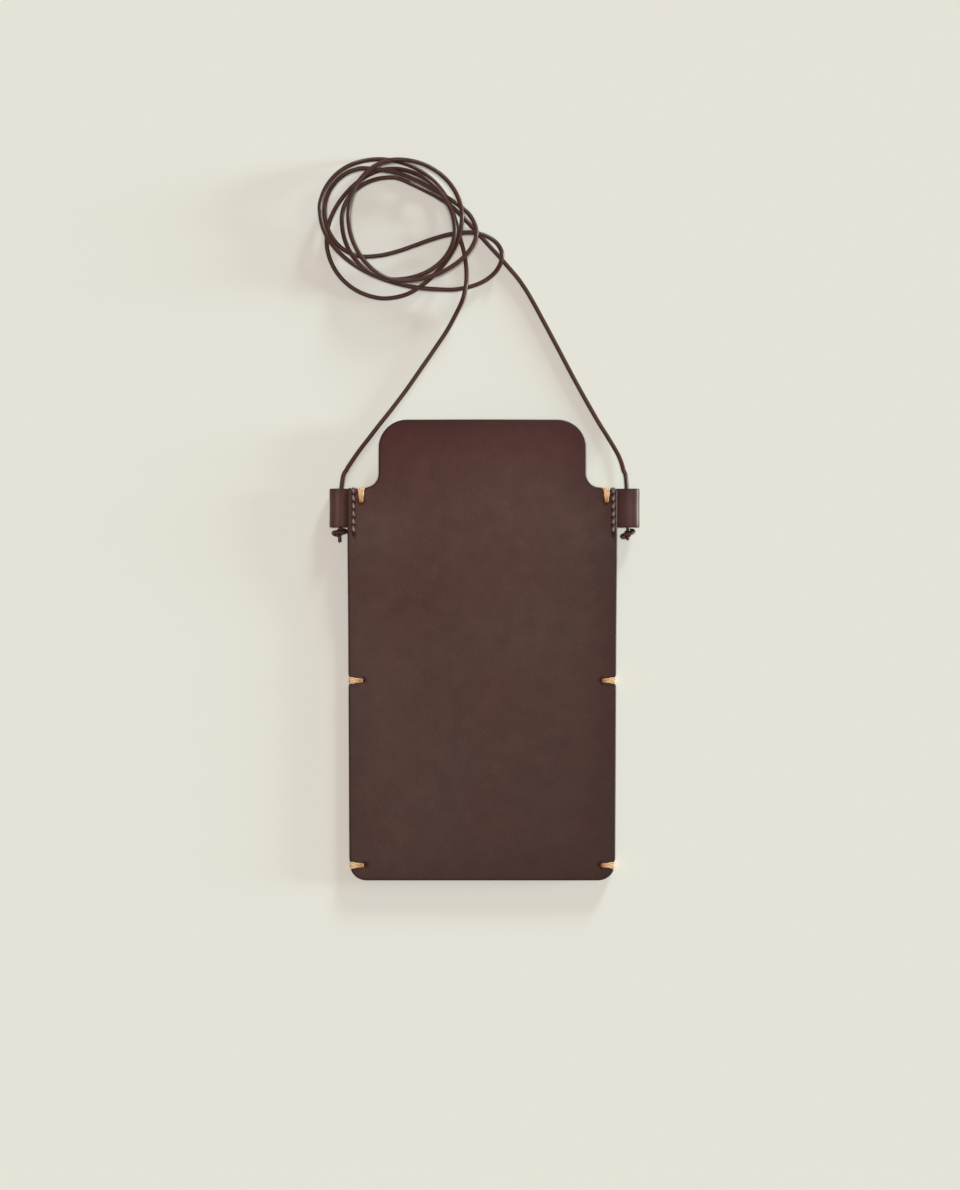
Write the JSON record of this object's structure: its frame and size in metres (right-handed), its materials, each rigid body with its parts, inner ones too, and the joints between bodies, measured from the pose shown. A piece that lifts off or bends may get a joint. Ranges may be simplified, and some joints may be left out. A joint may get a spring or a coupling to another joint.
{
  "type": "leather phone case",
  "caption": "Flat open-topped leather phone sleeve with a wide pull tab, a sewn loop at each shoulder, tied edges and a long round cord knotted under both loops.",
  "frame": {"origin": "middle of the two panels' length and width, on the flat rear face that the case lies on", "axes": "+Y along the case from its closed foot towards the pull tab, +X to the wearer's left across the front, +Z out of the front panel"},
  "size_m": [0.1257, 0.2831, 0.0087],
  "materials": {
    "panel_leather": "fine grained, waxed, matt to satin",
    "loop_leather": "smooth, satin",
    "cord_leather": "round cut, glossy",
    "tie_thread": "waxed, satin",
    "dark_thread": "waxed, glossy"
  },
  "bodies": {
    "case": {"front_panel": "panel_leather", "rear_panel": "panel_leather", "left_loop": "loop_leather", "right_loop": "loop_leather", "left_loop_stitching": "dark_thread", "right_loop_stitching": "dark_thread", "left_mouth_tie": "tie_thread", "right_mouth_tie": "tie_thread", "left_side_tie": "tie_thread", "right_side_tie": "tie_thread", "left_foot_tie": "tie_thread", "right_foot_tie": "tie_thread"},
    "strap": {"cord_left_leg": "cord_leather", "cord_coil": "cord_leather", "cord_right_leg": "cord_leather", "left_knot": "cord_leather", "right_knot": "cord_leather"}
  },
  "joints": [
    {"name": "strap_slide", "type": "slide", "parent": "case", "child": "strap", "axis": [0, 1, 0], "range_m": [-0.004, 0]}
  ]
}
